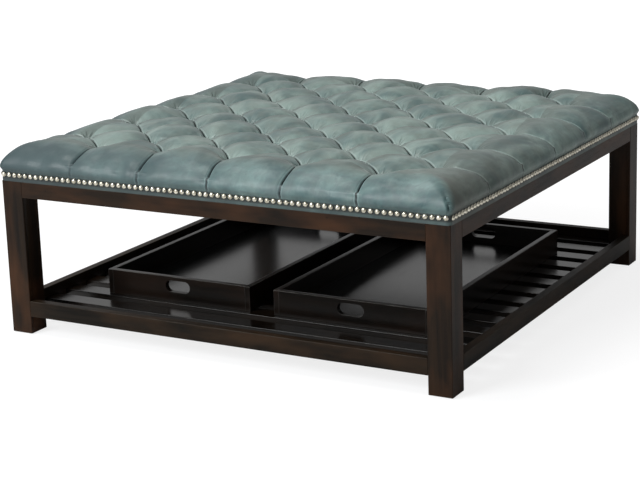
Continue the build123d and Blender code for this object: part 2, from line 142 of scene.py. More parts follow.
def node(tree, kind, values=None, **settings):
    made = tree.nodes.new(kind)
    for key, value in settings.items():
        setattr(made, key, value)
    feed(tree, made, values or {})
    return made


def sums(tree, kind, first, second=0.0):
    return node(tree, "ShaderNodeMath", {0: first, 1: second}, operation=kind).outputs[0]


def times(tree, first, second):
    return sums(tree, "MULTIPLY", first, second)


def plus(tree, first, second):
    return sums(tree, "ADD", first, second)


def vectors(tree, kind, values, given=0):
    return node(tree, "ShaderNodeVectorMath", values, operation=kind).outputs[given]


def stretched(tree, place, scale, **more):
    return node(tree, "ShaderNodeMapping", {"Vector": place, "Scale": scale, **more}).outputs[0]


def noise(tree, place, scale, detail, given="Fac", **more):
    values = {"Vector": place, "Scale": scale, "Detail": detail, **more}
    return node(tree, "ShaderNodeTexNoise", values).outputs[given]


def stored(tree, name, given="Fac"):
    """What add_layer stored in the mesh."""
    return node(tree, "ShaderNodeAttribute", attribute_name=name).outputs[given]


def ramp(tree, source, stops):
    """A colour ramp with its stops as (place, grey or colour)."""
    made = node(tree, "ShaderNodeValToRGB", {0: source})
    band = made.color_ramp
    while len(band.elements) < len(stops):
        band.elements.new(0.5)
    for element, (place, colour) in zip(band.elements, stops):
        element.position = place
        element.color = (*colour, 1) if isinstance(colour, tuple) else (colour, colour, colour, 1)
    return made.outputs["Color"]


def mixed(tree, amount, first, second, kind="MIX"):
    pair = [(*colour, 1) if isinstance(colour, tuple) else colour for colour in (first, second)]
    values = {0: amount, 6: pair[0], 7: pair[1]}
    return node(tree, "ShaderNodeMix", values, data_type="RGBA", blend_type=kind).outputs[2]


def bump(tree, height, depth, strength, **more):
    values = {"Height": height, "Distance": depth, "Strength": strength, **more}
    return node(tree, "ShaderNodeBump", values).outputs[0]


def group_with(name, inputs, outputs):
    """An empty shader group that takes a vector and named numbers, and gives named numbers."""
    group = bpy.data.node_groups.new(name, "ShaderNodeTree")
    group.interface.new_socket(name="Vector", in_out="INPUT", socket_type="NodeSocketVector")
    for label, value in inputs.items():
        socket = group.interface.new_socket(name=label, in_out="INPUT", socket_type="NodeSocketFloat")
        socket.default_value = value
    for label in outputs:
        group.interface.new_socket(name=label, in_out="OUTPUT", socket_type="NodeSocketFloat")
    return group, group.nodes.new("NodeGroupInput").outputs, group.nodes.new("NodeGroupOutput")


def grouped(tree, group, values):
    return node(tree, "ShaderNodeGroup", values, node_tree=group).outputs


def new_material(name):
    material = bpy.data.materials.new(name)
    material.use_nodes = True
    tree = material.node_tree
    return material, tree, tree.nodes["Principled BSDF"]


def stained_grain():
    """Streaks and pores along the wood, and the cloudy patches where the stain soaked in less."""
    group, given, result = group_with("stained grain", {"Fineness": 1.0}, ["Streaks", "Patches", "Height"])
    tuned = vectors(group, "SCALE", {0: given["Vector"], 3: given["Fineness"]})
    wander = noise(group, tuned, 3.0, 2.0, "Color")
    bent = vectors(group, "MULTIPLY_ADD", {0: wander, 1: (0.0, 0.02, 0.02), 2: tuned})
    streaks = noise(group, stretched(group, bent, (2.2, 60.0, 60.0)), 1.0, 5.0, Roughness=0.6)
    streaks = ramp(group, streaks, [(0.36, 0.0), (0.66, 1.0)])
    pores = noise(group, stretched(group, bent, (14.0, 900.0, 900.0)), 1.0, 2.0)
    pores = ramp(group, pores, [(0.30, 0.0), (0.46, 1.0)])
    patches = noise(group, stretched(group, tuned, (5.0, 14.0, 14.0)), 1.0, 3.0, Roughness=0.55)
    feed(group, result, {
        "Streaks": streaks,
        "Patches": ramp(group, patches, [(0.42, 0.0), (0.70, 1.0)]),
        "Height": plus(group, times(group, streaks, 0.35), pores)})
    return group


def small_dents():
    """Sparse knocks and worm marks that were put in before the stain."""
    group, given, result = group_with("small dents", {"Spacing": 30.0}, ["Depth"])
    cells = node(group, "ShaderNodeTexVoronoi", {"Vector": given["Vector"], "Scale": given["Spacing"]})
    pits = ramp(group, cells.outputs["Distance"], [(0.04, 1.0), (0.10, 0.0)])
    where = ramp(group, noise(group, given["Vector"], 9.0, 1.0), [(0.50, 0.0), (0.56, 1.0)])
    feed(group, result, {"Depth": times(group, pits, where)})
    return group


grain_group = stained_grain()
dent_group = small_dents()


def stained_wood(name, dark, mid, warm, worn_and_highlit, roughness, shine, pore_depth):
    """Stained and lacquered wood, lighter where the grain lets it through and along the eased edges, which
    are partly thinner stain and partly a painted highlight.
    """
    material, tree, skin = new_material(name)
    place = stored(tree, "grain", "Vector")
    grain = grouped(tree, grain_group, {"Vector": place})
    dents = grouped(tree, dent_group, {"Vector": place})["Depth"]
    colour = mixed(tree, grain["Streaks"], dark, mid)
    colour = mixed(tree, times(tree, grain["Patches"], 0.8), colour, warm)
    # Patches where the edges' lighter colour, partly thinner stain and partly painted highlight, is
    # stronger.
    rubbed = ramp(tree, noise(tree, place, 22.0, 3.0), [(0.38, 0.25), (0.62, 1.0)])
    colour = mixed(tree, times(tree, stored(tree, "wear_and_highlight"), rubbed), colour, worn_and_highlit)
    height = sums(tree, "SUBTRACT", grain["Height"], times(tree, dents, 6.0))
    # The dents are painted darkest: partly stain that pooled in them, partly painted shade in the holes.
    feed(tree, skin, {
        "Base Color": mixed(tree, dents, colour, dent_stain_and_shade),
        "Roughness": ramp(tree, grain["Height"], [(0.0, roughness * 1.35), (1.0, roughness)]),
        "Normal": bump(tree, height, pore_depth, 0.6),
        "Specular IOR Level": shine})
    return material


espresso = stained_wood(
    "espresso stain", dark=(0.0056, 0.0035, 0.0022), mid=(0.017, 0.0095, 0.0050),
    warm=(0.046, 0.019, 0.008), worn_and_highlit=(0.05, 0.036, 0.026), roughness=0.40, shine=0.11, pore_depth=0.0001)
# The lower rails get a darker copy of the same espresso stain: painted shade.
shaded_low_espresso = stained_wood(
    "espresso stain of the lower rails", dark=(0.0040, 0.0031, 0.0021), mid=(0.0115, 0.0084, 0.0056),
    warm=(0.030, 0.016, 0.008), worn_and_highlit=(0.030, 0.024, 0.018), roughness=0.46, shine=0.09, pore_depth=0.0001)

for index, corner in enumerate(corners):
    eased_wood("leg_" + corner, "base", espresso, along=2, seed=10 + index)
for index, side in enumerate(sides):
    way = 0 if side in ("front", "back") else 1
    eased_wood("top_rail_" + side, "base", espresso, along=way, seed=20 + index)
    eased_wood("lower_rail_" + side, "base", shaded_low_espresso, along=way, seed=30 + index)


# Shelf slats: fourteen planed boards of the same wood, tenoned into the side rails.
# The outer two are notched round the legs and glued along the front and back rails.

slat_length = 1.176
slat_width = 0.050
slat_thickness = 0.015
slat_middle = 0.0545
outer_slat = 0.563
slats_between = 12
slat_step = 2 * outer_slat / (slats_between + 1)

slat_finish = stained_wood(
    "slat stain", dark=(0.0022, 0.0017, 0.0014), mid=(0.0050, 0.0036, 0.0027), warm=(0.012, 0.007, 0.004),
    worn_and_highlit=(0.008, 0.006, 0.005), roughness=0.20, shine=0.30, pore_depth=0.000002)


def tree_with(name, inputs):
    """An empty geometry tree with named numbers going in."""
    tree = bpy.data.node_groups.new(name, "GeometryNodeTree")
    tree.interface.new_socket(name="Geometry", in_out="INPUT", socket_type="NodeSocketGeometry")
    for label, value in inputs.items():
        kind = "NodeSocketInt" if isinstance(value, int) else "NodeSocketFloat"
        tree.interface.new_socket(name=label, in_out="INPUT", socket_type=kind).default_value = value
    tree.interface.new_socket(name="Geometry", in_out="OUTPUT", socket_type="NodeSocketGeometry")
    return tree, tree.nodes.new("NodeGroupInput").outputs, tree.nodes.new("NodeGroupOutput")


def grown(name, tree, values):
    """The plain mesh that a geometry tree gives with these values on its named inputs."""
    holder = bpy.data.objects.new(name + "_holder", bpy.data.meshes.new(name + "_holder"))
    bpy.context.scene.collection.objects.link(holder)
    modifier = holder.modifiers.new(name, "NODES")
    modifier.node_group = tree
    for item in tree.interface.items_tree:
        if item.in_out == "INPUT" and item.name in values:
            modifier[item.identifier] = values[item.name]
    graph = bpy.context.evaluated_depsgraph_get()
    mesh = bpy.data.meshes.new_from_object(holder.evaluated_get(graph))
    holder.modifiers.clear()
    bpy.data.objects.remove(holder)
    mesh.name = name
    return mesh


def point(tree, x=0.0, y=0.0, z=0.0):
    return node(tree, "ShaderNodeCombineXYZ", {0: x, 1: y, 2: z}).outputs[0]


def random_vector(tree, reach, seed):
    """A vector of its own for each board or nail, up to this far from zero each way."""
    values = {"Min": tuple(-r for r in reach), "Max": reach, "Seed": seed}
    return node(tree, "FunctionNodeRandomValue", values, data_type="FLOAT_VECTOR").outputs[0]


def with_layer(tree, geometry, name, value, domain):
    values = {"Geometry": geometry, "Name": name, "Value": value}
    return node(tree, "GeometryNodeStoreNamedAttribute", values, data_type="FLOAT_VECTOR",
                domain=domain).outputs[0]


def painted(tree, result, geometry, material):
    """The end of a tree: real pieces of a mesh, in their material."""
    coated = node(tree, "GeometryNodeSetMaterial", {"Geometry": geometry, "Material": material})
    feed(tree, result, {0: coated.outputs[0]})


def slat_tree():
    """A rounded board, laid out at even steps, each with grain of its own."""
    tree, size, result = tree_with("shelf slats", {
        "Count": slats_between, "Step": slat_step, "Length": slat_length, "Width": slat_width,
        "Thickness": slat_thickness, "Ease": edge_ease, "Seed": 5})
    profile = node(tree, "GeometryNodeCurvePrimitiveQuadrilateral", {
        "Width": size["Width"], "Height": size["Thickness"]})
    rounded = node(tree, "GeometryNodeFilletCurve", {
        "Curve": profile.outputs[0], "Radius": size["Ease"], "Count": 3}, mode="POLY")
    half = times(tree, size["Length"], 0.5)
    spine = node(tree, "GeometryNodeCurvePrimitiveLine", {
        "Start": point(tree, x=times(tree, half, -1.0)), "End": point(tree, x=half)})
    board = node(tree, "GeometryNodeCurveToMesh", {
        "Curve": spine.outputs[0], "Profile Curve": rounded.outputs[0], "Fill Caps": True})
    steps = times(tree, sums(tree, "SUBTRACT", size["Count"], 1.0), -0.5)
    line = node(tree, "GeometryNodeMeshLine", {
        "Count": size["Count"], "Offset": point(tree, y=size["Step"]),
        "Start Location": point(tree, y=times(tree, size["Step"], steps), z=slat_middle)})
    laid = node(tree, "GeometryNodeInstanceOnPoints", {
        "Points": line.outputs[0], "Instance": board.outputs[0]}).outputs[0]
    shift = random_vector(tree, (3.0, 3.0, 3.0), size["Seed"])
    solid = node(tree, "GeometryNodeRealizeInstances", {
        "Geometry": with_layer(tree, laid, "shift", shift, "INSTANCE")}).outputs[0]
    own = node(tree, "GeometryNodeInputNamedAttribute", {"Name": "shift"}, data_type="FLOAT_VECTOR")
    place = node(tree, "GeometryNodeInputPosition").outputs[0]
    grain = vectors(tree, "ADD", {0: place, 1: own.outputs[0]})
    painted(tree, result, with_layer(tree, solid, "grain", grain, "POINT"), slat_finish)
    return tree


slats = grown("shelf_slats", slat_tree(), {"Step": slat_step})
round_shading(slats, 40)
slat_nodes = ["shelf_slat_%02d" % number for number in range(2, slats_between + 2)]
keep_faces_flat(new_piece("shelf_slats_laid", slats, "base", slat_nodes))
for index, number in enumerate(("01", "14")):
    eased_wood("shelf_slat_" + number, "base", slat_finish, along=0, seed=50 + index)


# Corner braces, seat frame and deck: pale pine blocks and a plywood board, unstained inside.
# Bolts, screws and washers are zinc-plated steel, the glides moulded nylon, the dust cover a cloth.

def object_place(tree):
    return node(tree, "ShaderNodeTexCoord").outputs["Object"]


def raw_wood(name, pale, dark, stretch):
    """Planed wood with no finish, its growth rings as faint bands."""
    material, tree, skin = new_material(name)
    rings = noise(tree, stretched(tree, object_place(tree), stretch), 30.0, 4.0, Distortion=0.4)
    feed(tree, skin, {
        "Base Color": ramp(tree, rings, [(0.35, dark), (0.62, pale)]), "Roughness": 0.7,
        "Normal": bump(tree, rings, 0.0002, 0.5)})
    return material


def speckled(name, pale, dark, scale, roughness, metallic=0.0, depth=0.0001):
    """A plain surface broken up by fine speckle, such as plated steel, nylon or foam."""
    material, tree, skin = new_material(name)
    grains = noise(tree, object_place(tree), scale, 3.0)
    feed(tree, skin, {
        "Base Color": ramp(tree, grains, [(0.35, dark), (0.65, pale)]),
        "Roughness": ramp(tree, grains, [(0.3, roughness + 0.08), (0.7, roughness)]),
        "Normal": bump(tree, grains, depth, 0.5), "Metallic": metallic})
    return material


def woven(name, light, dark, threads):
    """Cloth of crossed threads."""
    material, tree, skin = new_material(name)
    values = {"Vector": object_place(tree), "Scale": threads}
    warp = node(tree, "ShaderNodeTexWave", values, bands_direction="X")
    weft = node(tree, "ShaderNodeTexWave", values, bands_direction="Y")
    weave = times(tree, warp.outputs["Fac"], weft.outputs["Fac"])
    feed(tree, skin, {
        "Base Color": ramp(tree, weave, [(0.1, dark), (0.8, light)]), "Roughness": 0.9,
        "Normal": bump(tree, weave, 0.0002, 0.5)})
    return material


def finish_node(name, material):
    """A CAD node that stays as it is and only gets its material."""
    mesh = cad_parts[name].data
    if len(mesh.materials) == 0:
        mesh.materials.append(material)
    for index in range(len(mesh.materials)):
        mesh.materials[index] = material


pine = raw_wood("pine blocks", (0.56, 0.38, 0.20), (0.42, 0.26, 0.13), stretch=(1.0, 1.0, 5.0))
plywood = raw_wood("birch plywood", (0.60, 0.45, 0.28), (0.50, 0.35, 0.20), stretch=(0.6, 4.0, 30.0))
plated_steel = speckled(
    "zinc-plated steel", (0.62, 0.62, 0.60), (0.50, 0.50, 0.49), scale=180.0, roughness=0.32, metallic=1.0)
nylon = speckled("black nylon", (0.020, 0.020, 0.021), (0.012, 0.012, 0.013), scale=400.0, roughness=0.5)
seat_foam = speckled(
    "seat foam", (0.72, 0.68, 0.52), (0.60, 0.55, 0.40), scale=900.0, roughness=0.95, depth=0.0006)
twine = woven("waxed twine", (0.50, 0.42, 0.30), (0.36, 0.29, 0.19), threads=900.0)
dust_cloth = woven("black dust cover", (0.030, 0.030, 0.032), (0.010, 0.010, 0.011), threads=420.0)

for corner in corners:
    finish_node("corner_brace_" + corner, pine)
for side in sides:
    finish_node("seat_frame_" + side, pine)
for name in ("hanger_bolts", "brace_screws", "seat_screws", "seat_frame_screws"):
    finish_node(name, plated_steel)
finish_node("seat_deck", plywood)
finish_node("foot_glides", nylon)
finish_node("dust_cover", dust_cloth)
finish_node("foam_core", seat_foam)
finish_node("tuft_ties", twine)


# Leather cover: one hide, drawn down through the foam by twines and folded along the diagonals.
# It rounds over the edge with a pleat from each outer tuft, and is nailed above the top rails.
# The foam pushes each pillow up, and spare leather turns under one side of each fold. Sizes in mm.

tuft_pitch = 198.0
outer_tuft = 495.0
step = tuft_pitch / 2 / 24
tuft_level = 449.5
crown_level = 484.0
full_rise = crown_level - tuft_level
saddle_rise = 18.0
pillow_power = 2.5
top_level = 485.5
shoulder_start = 520.0
shoulder_drop = 57.0
spring_level = top_level - shoulder_drop
side_reach = 618.5
band_reach = 612.0
band_level = 416.0
nail_height = 409.5
nail_dent = 0.5
hem_roll = 1.6
hem_roll_level = 398.5
hem_level = 393.2
lining_reach = 610.2
ceiling_level = 444.4
thinnest_beside = 1.1
thinnest_above = 1.6
slack = 2.0
side_corner_round = 30.0
band_corner_round = 12.0
fold_depth = 3.2
fold_lip = 1.8
outer_lip = 0.6
pleat_depth = 3.4
pleat_lip = 1.2
corner_fold_depth = 5.0
tuft_pull = 4.0
pucker_rise = 1.3
crown_rise = 6.0
corner_rise = 7.0
off_the_folds = 50.0


def eased(value):
    """From 0 to 1, slowly at both ends."""
    value = np.clip(value, 0, 1)
    return value * value * (3 - 2 * value)


def hump(distance, width):
    """A smooth hill, 1 high where the distance is 0."""
    return np.exp(-(distance / width) ** 2)


def side_path():
    """Points down the cover's edge, from the outer tufts to the hem, with how far each leans out."""
    turn = np.linspace(0, pi / 2, 90)
    run = side_reach - shoulder_start
    flat = np.linspace(outer_tuft, shoulder_start, 10, endpoint=False)
    fall = np.linspace(spring_level, hem_level, 60)[1:]
    draw = eased((spring_level - fall) / (spring_level - band_level))
    out = np.concatenate([
        flat, shoulder_start + run * np.sin(turn), side_reach - (side_reach - band_reach) * draw])
    level = np.concatenate([
        np.full(len(flat), top_level), spring_level + shoulder_drop * np.cos(turn), fall])
    lean = np.concatenate([
        np.zeros(len(flat)), np.arctan2(shoulder_drop * np.sin(turn), run * np.cos(turn)),
        np.full(len(fall), pi / 2)])
    out = out + hem_roll * hump(level - hem_roll_level, 3.2) - nail_dent * hump(level - nail_height, 4)
    length = np.concatenate([[0], np.cumsum(np.hypot(np.diff(out), np.diff(level)))])
    return length, out, level, lean


def waves(x, y, size, count, seed):
    """A smooth random swell of about unit height, with waves of about this size in mm."""
    rng = np.random.default_rng(seed)
    total = np.zeros_like(x)
    for _ in range(count):
        heading = rng.uniform(0, 2 * pi)
        number = 2 * pi / size * rng.uniform(0.6, 1.5)
        total += np.sin(number * (x * cos(heading) + y * sin(heading)) + rng.uniform(0, 2 * pi))
    return total / np.sqrt(count / 2)


def fold_places(x, y):
    """For each point of the top: place across both diagonals of its pillow, from -1 to 1 at the folds."""
    diagonal = tuft_pitch / np.sqrt(2)
    along = (x + y) / np.sqrt(2) / diagonal
    across = (x - y) / np.sqrt(2) / diagonal
    shift = outer_tuft / np.sqrt(2) / diagonal
    p = along - np.floor(along - 2 * shift + 0.5) - 2 * shift
    q = across - np.floor(across + 0.5)
    return 2 * p, 2 * q


def pillow_height(p, q):
    """Height over the tufts for a place between the folds."""
    rise_p = 1 - np.abs(p) ** pillow_power
    rise_q = 1 - np.abs(q) ** pillow_power
    return saddle_rise * (rise_p + rise_q) + (full_rise - 2 * saddle_rise) * rise_p * rise_q


def pleat_height(offset, way):
    """Height beside a pleat, which is deep at the shoulder and drawn flat at the nails."""
    tight = np.interp(way, [0, 0.16, 0.45, 0.7, 0.96], [pillow_power, 2.4, 2.9, 6, 13])
    depths = [full_rise, 20, 13, 11, 10, 6, 1.2, 0.3]
    deep = np.interp(way, [0, 0.12, 0.25, 0.45, 0.6, 0.8, 0.94, 1.1], depths)
    swell = 1 - np.abs(offset) ** tight
    rise = 2 * saddle_rise * swell + (full_rise - 2 * saddle_rise) * swell * swell
    return full_rise - deep * (1 - rise / full_rise)


def fold_line(distance, depth, lip):
    """A fold seen in section: a sharp groove, and the doubled leather standing up on one side of it."""
    return lip * hump(distance - 6.5, 3.2) - depth * hump(distance, 2.0)


def tuft_gather(x, y, past):
    """The leather pulled in at each tuft, and the short creases that run out from it."""
    half = tuft_pitch / 2
    tuft_x = np.round(x / half) * half
    tuft_y = np.round(y / half) * half
    odd = np.round((tuft_x + tuft_y) / half).astype(int) % 2 == 1
    inside = (np.abs(tuft_x) < 500) & (np.abs(tuft_y) < 500)
    gap = np.where(odd & inside, np.hypot(x - tuft_x, y - tuft_y), 1e3)
    turn = np.arctan2(y - tuft_y, x - tuft_x)
    twist = np.sin(tuft_x * 0.37 + tuft_y * 0.61) * 3
    rays = np.cos(9 * turn + twist) + 0.7 * np.cos(14 * turn - 2 * twist)
    pucker = pucker_rise * rays * hump(gap - 20, 13) * np.interp(past, [0, 10], [1, 0.2])
    return pucker - tuft_pull * hump(gap, 9)


def uneven_stuffing(u, v, rise, size, way):
    """Slow swells on the pillows, which die out towards the nails and the corners."""
    swell = np.clip(rise / full_rise, 0, 1)
    uneven = 2.6 * waves(u, v, 330, 9, 3) * swell + 0.8 * waves(u, v, 80, 14, 4) * swell
    uneven += 0.12 * waves(u, v, 24, 18, 5)
    calm = np.interp(way, [0, 0.81, 0.96, 1.1], [1, 0.8, 0.15, 0.0])
    calm *= 1 - 0.75 * np.interp(size, [outer_tuft, 580], [0, 1]) * np.interp(way, [0.2, 0.6], [0, 1])
    return uneven * calm


def worked_by_hand(u, v, x, y, z, way):
    """The crown of a well-stuffed seat, its full corners, and a pattern that was set out by eye."""
    crown = 1 - (np.clip(u, -600, 600) * np.clip(v, -600, 600) / 600 ** 2) ** 2
    z = z + crown_rise * crown * np.interp(way, [0, 0.25, 0.75], [1, 0.9, 0])
    to_corner = np.hypot(np.abs(x) - 575, np.abs(y) - 575)
    z = z + corner_rise * hump(to_corner, 45) * np.interp(way, [0.3, 0.8], [1, 0])
    inner_x = np.interp(np.abs(x), [430, 585], [1, 0])
    inner_y = np.interp(np.abs(y), [500, 590], [1, 0])
    x = x - inner_x * np.interp(x, [-396, 396], [1, 11])
    y = y - inner_y * np.interp(x, [-100, 400], [0, 1]) * np.interp(y, [-495, 400], [18, 6])
    sway = 3.0 * np.interp(way, [0, 0.5, 0.8], [1, 0.6, 0])
    x = x + sway * waves(u, v, 380, 8, 6)
    y = y + sway * waves(u, v, 380, 8, 7)
    return x, y, z


def cover_surface():
    """Every point of the cover's outside, with its distance to the folds and its way to the nails."""
    path_length, path_out, path_level, path_lean = side_path()
    inner = np.arange(0, outer_tuft + step / 2, step)
    rows = int(round(path_length[-1] / step))
    outer = outer_tuft + np.linspace(0, path_length[-1], rows + 1)[1:]
    half = np.concatenate([inner, outer])
    line = np.concatenate([-half[:0:-1], half])
    u, v = np.meshgrid(line, line, indexing="ij")
    ring = np.maximum(np.abs(u), np.abs(v))
    past = np.clip(ring - outer_tuft, 0, None)
    way = past / np.interp(-nail_height, -path_level, path_length)
    reach = np.where(past > 0, np.interp(past, path_length, path_out), ring)
    level = np.interp(past, path_length, path_level)
    lean = np.interp(past, path_length, path_lean)

    # The rows past the outer tufts turn the corner on a radius.
    shrink = np.clip((way - 0.65) / 0.33, 0, 1)
    radius = side_corner_round * eased(way / 0.55) * (1 - shrink) + band_corner_round * shrink
    on_x = np.abs(u) >= np.abs(v)
    other = np.where(on_x, v, u)
    side = np.where(on_x, np.sign(u), np.sign(v))
    size = np.abs(other)
    in_corner = size > outer_tuft
    far = reach - radius + radius * pi / 4
    ratio = np.clip((size - outer_tuft) / np.maximum(ring - outer_tuft, 1e-6), 0, 1)
    arc = np.where(in_corner, outer_tuft + ratio * (far - outer_tuft), size)
    bend = np.clip((arc - (reach - radius)) / np.maximum(radius, 1e-6), 0, pi / 4)
    bend = np.where(past > 0, bend, 0)
    along = np.where(bend > 0, reach - radius + radius * np.sin(bend), arc) * np.sign(other)
    across = np.where(bend > 0, reach - radius + radius * np.cos(bend), reach) * side
    x = np.where(on_x, across, along)
    y = np.where(on_x, along, across)
    out_across = np.cos(bend) * side
    out_along = np.sin(bend) * np.sign(other)
    out_x = np.where(on_x, out_across, out_along)
    out_y = np.where(on_x, out_along, out_across)

    # Pillows lie between the tufts, and rounded strips between the pleats.
    p, q = fold_places(x, y)
    field = ring <= outer_tuft + 1e-6
    offset = (other - outer_tuft) / tuft_pitch
    offset = np.where(in_corner, 0, 2 * (offset - np.floor(offset + 0.5)))
    rise = np.where(field, pillow_height(p, q), pleat_height(offset, way))

    half_pillow = tuft_pitch / np.sqrt(2) / 2
    beside_p = (1 - np.abs(p)) * half_pillow * np.where(p > 0, 1, -1)
    beside_q = (1 - np.abs(q)) * half_pillow * np.where(q < 0, 1, -1)
    beside_pleat = (1 - np.abs(offset)) * tuft_pitch / 2 * np.where(offset > 0, 1, -1)
    lip = np.interp(ring, [outer_tuft - 16, outer_tuft], [fold_lip, outer_lip])
    near_top = fold_line(beside_p, fold_depth, lip) + fold_line(beside_q, fold_depth, lip)
    near_side = fold_line(beside_pleat, pleat_depth, pleat_lip)
    near_side = near_side * np.interp(way, [0, 0.89, 0.95], [1, 0.8, 0.1])
    folds = np.where(field, near_top, np.where(in_corner, 0, near_side))
    gap_p = np.where(field, beside_p, np.where(in_corner, off_the_folds, beside_pleat))
    gap_q = np.where(field, beside_q, off_the_folds)

    # The hide is folded once at each corner, and never sinks into the foam.
    height = rise - full_rise - slack + folds + tuft_gather(x, y, past)
    height += uneven_stuffing(u, v, rise, size, way)
    pinch = np.interp(way, [0.60, 0.78, 0.93, 0.985], [0, 1, 1, 0.2])
    height += np.where(in_corner & ~on_x, pinch, 0) * fold_line(far - arc - 4, corner_fold_depth, pleat_lip)
    room_beside = (reach - lining_reach - thinnest_beside) / np.maximum(np.sin(lean), 1e-6)
    room_above = (level - ceiling_level - thinnest_above) / np.maximum(np.cos(lean), 1e-6)
    height = np.maximum(height, -np.maximum(room_beside, room_above))
    height = np.minimum(height, np.interp(way, [0.62, 0.82], [3.0, 1.4]))
    x = x + out_x * np.sin(lean) * height
    y = y + out_y * np.sin(lean) * height
    z = level + np.cos(lean) * height

    x, y, z = worked_by_hand(u, v, x, y, z, way)
    bow = 3 * np.sin(pi * np.clip((way - 0.03) / 0.92, 0, 1)) * waves(other, 0 * other, 500, 5, 9)
    bow = np.where(in_corner, 0, bow)
    x = x - np.where(on_x, 0, bow)
    y = y - np.where(on_x, bow, 0)
    return u, v, x, y, z, gap_p, gap_q, way


def cover_mesh(material):
    """The outside, the turned-in hem and a flat lining, as one closed mesh."""
    u, v, x, y, z, gap_p, gap_q, way = cover_surface()
    count = len(u)
    points = np.stack([x, y, z], axis=-1).reshape(-1, 3)
    number = np.arange(count * count).reshape(count, count)
    a, b = number[:-1, :-1], number[1:, :-1]
    c, d = number[1:, 1:], number[:-1, 1:]
    height = points[:, 2]
    fall = (height[a] + height[c] < height[b] + height[d])[..., None]
    first = np.where(fall, np.stack([a, b, c], -1), np.stack([a, b, d], -1)).reshape(-1, 3)
    second = np.where(fall, np.stack([a, c, d], -1), np.stack([b, c, d], -1)).reshape(-1, 3)
    faces = [first, second]

    last = np.concatenate([number[:-1, 0], number[-1, :-1], number[:0:-1, -1], number[0, :0:-1]])
    edge = points[last].copy()
    edge[:, :2] = np.clip(edge[:, :2], -lining_reach, lining_reach) * (lining_reach / band_reach)
    for level in (hem_level, ceiling_level):
        edge[:, 2] = level
        fresh = np.arange(len(points), len(points) + len(last))
        points = np.concatenate([points, edge])
        faces.append(np.stack([last, fresh, np.roll(last, -1)], -1))
        faces.append(np.stack([np.roll(last, -1), fresh, np.roll(fresh, -1)], -1))
        last = fresh
    faces.append(np.stack([last, np.full(len(last), len(points)), np.roll(last, -1)], -1))
    points = np.concatenate([points, [[0, 0, ceiling_level]]])
    faces = np.concatenate(faces)

    mesh = bpy.data.meshes.new("tufted_leather")
    mesh.vertices.add(len(points))
    mesh.vertices.foreach_set("co", (points / 1000).ravel())
    mesh.loops.add(faces.size)
    mesh.loops.foreach_set("vertex_index", faces.ravel().astype(np.int32))
    mesh.polygons.add(len(faces))
    mesh.polygons.foreach_set("loop_start", np.arange(0, faces.size, 3, dtype=np.int32))
    mesh.update(calc_edges=True)
    mesh.validate()
    extra = len(points) - count * count
    hide = np.stack([u, v, 0 * u], -1).reshape(-1, 3)
    for name, gap in (("from_p", gap_p), ("from_q", gap_q)):
        add_layer(mesh, name, np.concatenate([gap.ravel(), np.full(extra, off_the_folds)]) / 10)
    add_layer(mesh, "edge_way", np.concatenate([way.ravel() * 0.9, np.ones(extra)]))
    add_layer(mesh, "hide", np.concatenate([hide, points[count * count:]]) / 1000)
    mesh.materials.append(material)
    round_shading(mesh, 80)
    return mesh


def hide_grain():
    """Pebbled pores of the hide with finer creases between them."""
    group, given, result = group_with("hide grain", {"Pebbles": 520.0}, ["Height"])
    source, size = given["Vector"], given["Pebbles"]
    cells = node(group, "ShaderNodeTexVoronoi", {"Vector": source, "Scale": size}, feature="SMOOTH_F1")
    fine = noise(group, source, times(group, size, 2.3), 3.0)
    soft = noise(group, source, 60.0, 4.0, Distortion=0.8)
    height = plus(group, times(group, cells.outputs["Distance"], -0.5), times(group, fine, 0.4))
    feed(group, result, {"Height": plus(group, height, times(group, soft, 1.2))})
    return group


def pull_up_clouds():
    """The cloudy tone of a waxed hide, paler where it was stretched and duller where it was rubbed."""
    group, given, result = group_with("pull-up clouds", {}, ["Clouds", "Blotches", "Marks"])
    source = given["Vector"]
    clouds = noise(group, source, 7.0, 4.0, Roughness=0.6, Distortion=0.6)
    blotches = noise(group, source, 26.0, 5.0, Roughness=0.65, Distortion=0.4)
    turned = stretched(group, source, (90.0, 9.0, 30.0), Rotation=(0.0, 0.0, 0.7))
    marks = noise(group, turned, 1.0, 4.0, Distortion=1.2)
    feed(group, result, {
        "Clouds": ramp(group, clouds, [(0.40, 0.0), (0.60, 1.0)]),
        "Blotches": ramp(group, blotches, [(0.40, 0.0), (0.68, 1.0)]),
        "Marks": ramp(group, marks, [(0.56, 0.0), (0.72, 1.0)])})
    return group


